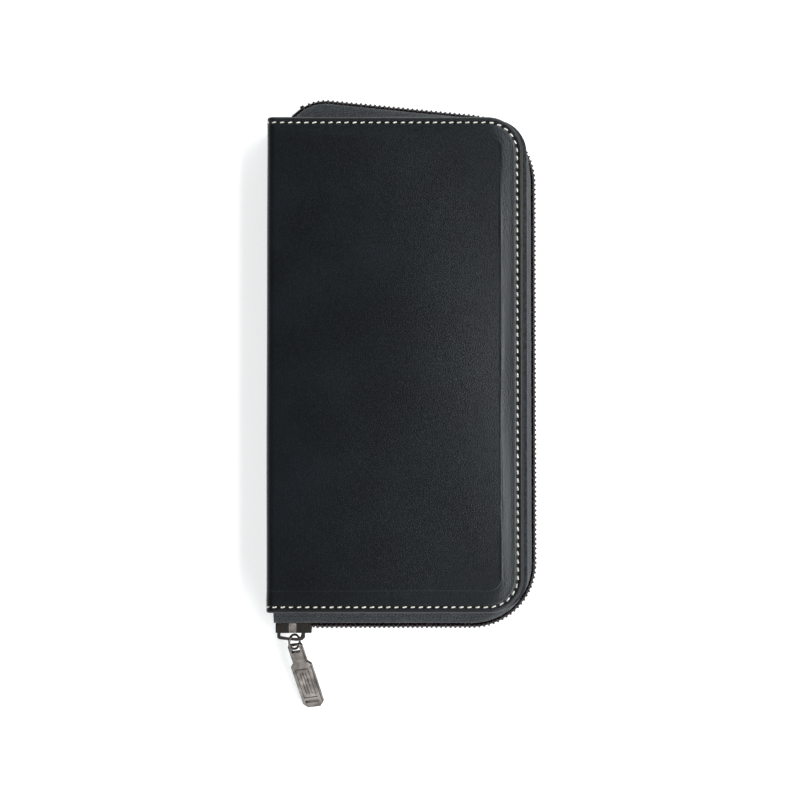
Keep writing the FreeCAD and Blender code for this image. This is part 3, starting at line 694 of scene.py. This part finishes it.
def nylon_coil(half, starts, low, high):
    """Filament wound round the chain's line: a flattened helix that moves on mostly while it
    is at the inner side, its section set out from the line's direction and the spoke."""
    wire, turn_points, section_points = 0.42, 14, 6
    path, way = corner_path(CHAIN, [300, 500, 300, 60], 60)
    path = path + way * CHAIN_DEPTH / 2
    length = run_length(path)
    middle = np.argmax(path[:, 0])
    begin = np.interp(starts, path[:middle, 0], length[:middle])
    final = np.argmax((np.arange(len(path)) > middle) & (path[:, 0] < -31.5))
    turns = int((length[final] - begin) / COIL_PITCH)
    where = begin + np.linspace(0, turns * COIL_PITCH, turns * turn_points + 1)
    angle = math.tau * (where - begin) / COIL_PITCH
    where = where - 0.85 * COIL_PITCH / math.tau * np.sin(angle - math.pi * 0.75)
    centre = np.stack([np.interp(where, length, path[:, i]) for i in (0, 1)], -1)
    inward = np.stack([np.interp(where, length, way[:, i]) for i in (0, 1)], -1)
    inward /= np.linalg.norm(inward, axis=1)[:, None]
    deep, tall = CHAIN_DEPTH / 2 - wire, (high - low) / 2 - wire
    z = (low + high) / 2 + tall * np.sin(angle)
    line = np.column_stack([centre + inward * (deep * np.cos(angle))[:, None], z])
    tangent = np.column_stack([inward[:, 1], -inward[:, 0], 0 * z])
    spoke = np.column_stack([inward * np.cos(angle)[:, None], np.sin(angle)])
    a = np.linspace(0, math.tau, section_points, endpoint=False)[None, :, None]
    ring = line[:, None] + wire * (np.cos(a) * tangent[:, None] + np.sin(a) * spoke[:, None])
    ring[0] = line[0]
    ring[-1] = line[-1]
    ring = np.concatenate([ring, ring[:, :1]], 1)
    sewn = np.stack(np.broadcast_arrays(where[:, None], a[..., 0]), -1)
    sewn = np.concatenate([sewn, sewn[:, :1]], 1)
    part = grid(ring, sewn)
    part = (part[0], part[1][:, ::-1], part[2])
    made = piece(half + "_nylon_coil", [part], COIL_NYLON, sharp=80)
    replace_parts(made, half + "_zip_coil")
    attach(made, half)
    # The core under the turns, in the darker cord colour that paints shade between them.
    fine = np.concatenate([np.arange(begin + 0.3, length[-1] - 1.0, 0.8), [length[-1] - 1.0]])
    core = tube_along(path, way, length, fine, (deep * 0.85, tall * 0.9), (low + high) / 2)
    cord = piece(half + "_coil_core", [core], SHADE_DARK_CORE, sharp=80)
    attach(cord, half)
    stop = length[final] + np.linspace(-0.2, 1.5, 9)
    clip = tube_along(path, way, length, stop, (CHAIN_DEPTH / 2 + 0.04, (high - low) / 2 + 0.05),
                      (low + high) / 2, 0.35)
    clip = piece(half + "_stop_clip", [clip], COIL_NYLON, sharp=50)
    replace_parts(clip, half + "_end_stop")
    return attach(clip, half)


gusset_tape("front")
gusset_tape("back")
nylon_coil("front", -27.6, *FRONT_COIL)
nylon_coil("back", -40.2, *BACK_COIL)


def link_ring():
    """Round wire closed in a ring between the slider's bail and the pull: a circle of wire
    carried round a circle that leans halfway between level and upright."""
    centre = np.array([RING_X, RING_Y, Z_MID])
    around = np.linspace(0, math.tau, 64, endpoint=False)[:, None, None]
    section = np.linspace(0, math.tau, 15)[None, :, None]
    normal = np.array([math.sqrt(0.5), 0, math.sqrt(0.5)])
    across = np.array([0.0, 1.0, 0.0])
    third = np.cross(normal, across)
    spoke = across * np.cos(around) + third * np.sin(around)
    points = centre + spoke * (RING_RADIUS + RING_WIRE * np.cos(section))
    points = points + normal * RING_WIRE * np.sin(section)
    sewn = np.stack(np.broadcast_arrays(around[..., 0] * RING_RADIUS,
                                        section[..., 0] * RING_WIRE), -1)
    part = grid(points, sewn, closed=True)
    made = piece("link_ring", [part], GUNMETAL, sharp=80)
    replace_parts(made, "pull_link")
    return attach(made, "link")


link_ring()


# ------------------------------------------------------------------ inside
def rounded_loop(x0, x1, y0, y1, radii, count=24):
    """Closed outline of a rectangle with its own radius at each corner, anticlockwise."""
    corners = [(x0, y0), (x1, y0), (x1, y1), (x0, y1)]
    spots, sides = [], []
    for i, ((x, y), r) in enumerate(zip(corners, radii)):
        sx, sy = (1 if x == x0 else -1), (1 if y == y0 else -1)
        a = math.pi + i * math.pi / 2 + np.linspace(0, math.pi / 2, count)
        spots.append(np.stack([x + sx * r + r * np.cos(a), y + sy * r + r * np.sin(a)], -1))
    for i in range(4):
        a, b = spots[i][-1], spots[(i + 1) % 4][0]
        steps = np.linspace(0, 1, 42)[1:-1, None]
        sides.append(a + (b - a) * steps)
    return np.vstack([np.vstack([spot, side]) for spot, side in zip(spots, sides)])


def panel_sheet(outline, level, up, crown, edge_roll):
    """Flat leather piece: its outline drawn in to the middle ring by ring, crowned a little,
    with its cut edge rolled over and a groove under its stitches."""
    centre = (outline.max(0) + outline.min(0)) / 2
    half = (outline.max(0) - outline.min(0)) / 2
    near = np.array([0, 0.15, 0.35, 0.6, 0.9, 1.3, 1.7, 2.1, 2.5, 3.0, 4.0, 5.5, 8, 12])
    rest = np.linspace(14, half.min(), 16)
    inset = np.concatenate([near, rest])
    scale = 1 - inset[None, :, None] / half
    points = centre + (outline[:, None] - centre) * scale
    depth = np.broadcast_to(inset[None], points.shape[:2])
    roll = edge_roll * (1 - smooth(depth / 0.6))
    groove = 0.1 * np.exp(-((depth - PANEL_INSET) / 0.4) ** 2)
    rise = crown * (1 - (1 - np.clip(depth / half.min(), 0, 1)) ** 2)
    z = level + up * (rise - roll - groove)
    spaced = run_length(outline)
    sewn = np.stack([np.broadcast_to(spaced[:, None], depth.shape), depth + 0.9], -1)
    return np.concatenate([points, z[..., None]], -1), sewn


def loop_stitches(outline, inset, pitch):
    """Places and directions of stitches inside an outline."""
    centre = (outline.max(0) + outline.min(0)) / 2
    half = (outline.max(0) - outline.min(0)) / 2
    path = centre + (outline - centre) * (1 - inset / half)
    path = np.vstack([path, path[:1]])
    length = run_length(path)
    where = np.arange(pitch / 2, length[-1], pitch)
    places = np.stack([np.interp(where, length, path[:, i]) for i in (0, 1)], -1)
    ahead = np.stack([np.interp(where + 0.3, length, path[:, i]) for i in (0, 1)], -1)
    ways = ahead - places
    ways /= np.linalg.norm(ways, axis=1)[:, None]
    return places, ways


PANEL_LOW, PANEL_HIGH = [np.array(c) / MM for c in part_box("pen_panel")]
panel_edge = rounded_loop(PANEL_LOW[0], PANEL_HIGH[0], PANEL_LOW[1], PANEL_HIGH[1],
                          [PANEL_CORNER] * 4)
points, sewn = panel_sheet(panel_edge, PANEL_HIGH[2], 1, 0.0, 0.4)
pen_panel = piece("pen_panel_leather", [grid(points, sewn, closed=True)], INNER_HIDE,
                  PANEL_WALL)
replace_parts(pen_panel, "pen_panel")
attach(pen_panel, "back")


def flat_thread(name, places, ways, level, up, body):
    """A row of stitches on a flat piece facing up or down."""
    def lay(x, y, height):
        return np.stack([x, y, level + up * height], -1)

    heights = np.full(len(places), -0.1)
    points, faces, sewn = stitch_row(places, ways, heights, lay)
    if up < 0:
        faces = faces[:, ::-1]
    made = piece(name, [(points, faces, sewn)], THREAD, sharp=80)
    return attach(made, body)


places, ways = loop_stitches(panel_edge, PANEL_INSET, STITCH_PITCH)
flat_thread("pen_panel_thread", places, ways, PANEL_HIGH[2], 1, "back")


def band_line():
    """Middle line of the elastic over four pens: flat, up a leg, over a half circle and down
    again, with small fillets at its feet. Gives (x, z)."""
    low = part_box("upper_pen_band")[0] / MM
    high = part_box("upper_pen_band")[1] / MM
    centres = (low[0] + high[0]) / 2 + PEN_PITCH * (np.arange(4) - 1.5)
    a = np.linspace(math.pi, 0, 33)
    top = high[2] - 7.6
    foot = low[2] + 1.5
    fillet = np.linspace(0, math.pi / 2, 7)[:-1]
    rise_x = -LOOP_RADIUS - 1.0 + 1.0 * np.sin(fillet)
    rise_z = foot + 1.0 - 1.0 * np.cos(fillet)
    x = np.concatenate([rise_x, LOOP_RADIUS * np.cos(a), -rise_x[::-1]])
    z = np.concatenate([rise_z, top + LOOP_RADIUS * np.sin(a), rise_z[::-1]])
    x = (centres[:, None] + x[None]).ravel()
    z = np.tile(z, 4)
    x = np.concatenate([[low[0] + 0.3], x, [high[0] - 0.3]])
    z = np.concatenate([[foot], z, [foot]])
    return np.stack([x, z], -1)


def pen_band(node):
    """Elastic webbing with rolled edges, carried straight across its width over that line."""
    low, high = [np.array(c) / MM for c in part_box(node)]
    line = band_line()
    along = run_length(line)
    fine = np.arange(0, along[-1], 0.7)
    line = np.stack([np.interp(fine, along, line[:, i]) for i in (0, 1)], -1)
    t = np.linspace(-1, 1, 21)
    y = (low[1] + high[1]) / 2 + t * (high[1] - low[1]) / 2
    thin = 0.12 * np.abs(t) ** 8
    way = np.gradient(line, axis=0)
    way /= np.linalg.norm(way, axis=1)[:, None]
    up = np.stack([-way[:, 1], way[:, 0]], -1)
    place = line[:, None] - up[:, None] * thin[None, :, None]
    points = np.stack(np.broadcast_arrays(place[..., 0], y[None], place[..., 1]), -1)
    sewn = np.stack(np.broadcast_arrays(fine[:, None], y[None]), -1)
    arch = grid(points, sewn)
    flat_x = np.linspace(low[0] + 0.3, high[0] - 0.3, 60)
    flat_z = low[2] + 0.5 + 0 * flat_x[:, None]
    base = np.stack(np.broadcast_arrays(flat_x[:, None], y[None], flat_z), -1)
    strip = grid(base, np.stack(np.broadcast_arrays(flat_x[:, None], y[None]), -1))
    over = piece(node + "_webbing", [arch], ELASTIC, 0.85, 0.0, 60)
    under = piece(node + "_strip", [strip], ELASTIC, 0.85, 0.0, 60)
    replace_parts(over, node)
    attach(over, "back")
    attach(under, "back")
    centres = (low[0] + high[0]) / 2 + PEN_PITCH * (np.arange(5) - 2)
    rows = np.arange(low[1] + 1.6, high[1] - 1.0, 2.2)
    spots = np.stack(np.meshgrid(centres[1:4], rows, indexing="ij"), -1).reshape(-1, 2)
    ways = np.tile([0.0, 1.0], (len(spots), 1))
    flat_thread(node + "_thread", spots, ways, low[2] + 2.0, 1, "back")


pen_band("upper_pen_band")
pen_band("lower_pen_band")

POCKET_LOW, POCKET_HIGH = [np.array(c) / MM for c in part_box("front_slip_pocket")]
pocket_edge = rounded_loop(POCKET_LOW[0], POCKET_HIGH[0], POCKET_LOW[1], POCKET_HIGH[1],
                           [PANEL_CORNER, PANEL_CORNER, 0.6, 0.6])
points, sewn = panel_sheet(pocket_edge, POCKET_LOW[2] + 0.35, -1, 0.3, 0.5)
points, faces, sewn = grid(points, sewn, closed=True)
pocket = piece("slip_pocket_leather", [(points, faces[:, ::-1], sewn)], INNER_HIDE,
               PANEL_WALL)
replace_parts(pocket, "front_slip_pocket")
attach(pocket, "front")
places, ways = loop_stitches(pocket_edge, PANEL_INSET, STITCH_PITCH)
sides = places[:, 1] < POCKET_HIGH[1] - 4.0
flat_thread("slip_pocket_thread", places[sides], ways[sides], POCKET_LOW[2] + 0.3, -1, "front")


def binding_strip():
    """Narrow folded leather along the pocket's mouth: a low half-round carried along x."""
    low, high = [np.array(c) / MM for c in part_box("pocket_binding")]
    x = np.linspace(low[0] + 0.2, high[0] - 0.2, 60)[:, None]
    a = np.linspace(0, math.pi, 13)[None]
    y = (low[1] + high[1]) / 2 + np.cos(a) * (high[1] - low[1]) / 2
    z = high[2] + 0.15 - np.sin(a) ** 0.5 * (high[2] - low[2] + 0.1)
    points = np.stack(np.broadcast_arrays(x, y, z), -1)
    sewn = np.stack(np.broadcast_arrays(x, 5.0 + y * 0), -1)
    made = piece("pocket_binding_strip", [grid(points, sewn)], INNER_HIDE, 0.3)
    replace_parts(made, "pocket_binding")
    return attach(made, "front")


binding_strip()


# ------------------------------------------------------------------ carried-over nodes
def give(node, finish):
    """Puts a finish on a CAD node that stays as it is."""
    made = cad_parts[node]
    if not made.material_slots:
        made.data.materials.append(finish)
    for place in made.material_slots:
        place.material = finish


for node in ("slider_bail", "pull_tab"):
    give(node, GUNMETAL)
give("slider_body", DARK_NICKEL)
for node in ("front_cover_board", "back_cover_board"):
    give(node, BOARD)
give("spine_strip", STIFFENER)


# ------------------------------------------------------------------ floor, light, camera
def studio_floor():
    """Wide plain sheet just under the object, pale paper. Seen directly it is lifted to white
    and keeps the object's shadow; it lights the object only as paper does."""
    made, tree, shader = material("matt_white_paper", "#e9e9e9", 0.9)
    path = put(tree, "ShaderNodeLightPath")
    seen = maths(tree, "MAXIMUM", path.outputs["Is Camera Ray"], path.outputs["Is Glossy Ray"])
    glow = put(tree, "ShaderNodeEmission", {"Color": (1, 1, 1, 1), "Strength": 0.62})
    both = put(tree, "ShaderNodeAddShader", {0: shader.outputs[0], 1: glow.outputs[0]})
    shown = put(tree, "ShaderNodeMixShader", {0: seen, 1: shader.outputs[0], 2: both.outputs[0]})
    tree.links.new(shown.outputs[0], tree.nodes["Material Output"].inputs[0])
    mesh = bpy.data.meshes.new("studio_floor")
    size, z = 6.0, -0.0004
    corners = [(-size, -size, z), (size, -size, z), (size, size, z), (-size, size, z)]
    mesh.from_pydata(corners, [], [(0, 1, 2, 3)])
    mesh.materials.append(made)
    floor = bpy.data.objects.new("studio_floor", mesh)
    bpy.context.scene.collection.objects.link(floor)


def lamp(name, place, size, power):
    """Soft rectangular lamp aimed at the case's middle."""
    data = bpy.data.lights.new(name, "AREA")
    data.shape = "RECTANGLE"
    data.size, data.size_y = size
    data.energy = power
    data.color = (0.93, 0.98, 1.0)
    made = bpy.data.objects.new(name, data)
    made.location = place
    made.rotation_mode = "QUATERNION"
    made.rotation_quaternion = (-Vector(place)).to_track_quat("-Z", "Y")
    bpy.context.scene.collection.objects.link(made)


def studio_light():
    """A white surround for the eye, dim for the object, with a paler band near the horizon
    that metal mirrors. A long lamp stands high on the right, and two weak ones beyond the
    zip's far end and near its pull."""
    world = bpy.data.worlds.new("studio")
    bpy.context.scene.world = world
    world.use_nodes = True
    tree = world.node_tree
    path = put(tree, "ShaderNodeLightPath")
    way = put(tree, "ShaderNodeTexCoord")
    height = put(tree, "ShaderNodeSeparateXYZ", {"Vector": way.outputs["Generated"]})
    backdrop = graded(tree, height.outputs[2], 0.25, 0.75, 0.45, 0.0)
    mirrored_ray = maths(tree, "MAXIMUM", path.outputs["Is Glossy Ray"],
                         path.outputs["Is Transmission Ray"])
    seen = maths(tree, "MULTIPLY_ADD", mirrored_ray, backdrop, 0.10)
    strength = maths(tree, "MAXIMUM", path.outputs["Is Camera Ray"], seen)
    tree.links.new(strength, tree.nodes["Background"].inputs["Strength"])
    tree.nodes["Background"].inputs["Color"].default_value = (1, 1, 1, 1)
    lamp("key_softbox", (0.50, -0.02, 1.0), (2.0, 0.3), 17.0)
    lamp("top_softbox", (0.15, 1.05, 0.75), (0.8, 0.5), 3.2)
    lamp("low_softbox", (-0.45, -0.97, 0.6), (0.7, 0.6), 4.0)


def studio_camera():
    """Camera almost straight above, a little towards the zip pull's end."""
    data = bpy.data.cameras.new("camera")
    data.sensor_width = 36.0
    distance, tilt, half_width = 0.80, math.radians(2.5), 0.1334
    target = Vector((0.0008, -0.0121, Z_TOP * MM))
    data.lens = data.sensor_width / 2 / (half_width / distance)
    made = bpy.data.objects.new("camera", data)
    made.location = target + Vector((0, -math.sin(tilt), math.cos(tilt))) * distance
    made.rotation_mode = "QUATERNION"
    forward = (target - made.location).normalized()
    up = Vector((0, 1, 0))
    right = forward.cross(up).normalized()
    up = right.cross(forward)
    made.rotation_quaternion = Matrix((right, up, -forward)).transposed().to_quaternion()
    data.clip_start = 0.01
    bpy.context.scene.collection.objects.link(made)
    bpy.context.scene.camera = made


studio_floor()
studio_light()
studio_camera()
bpy.context.scene.view_settings.view_transform = "Standard"

bpy.context.view_layer.update()
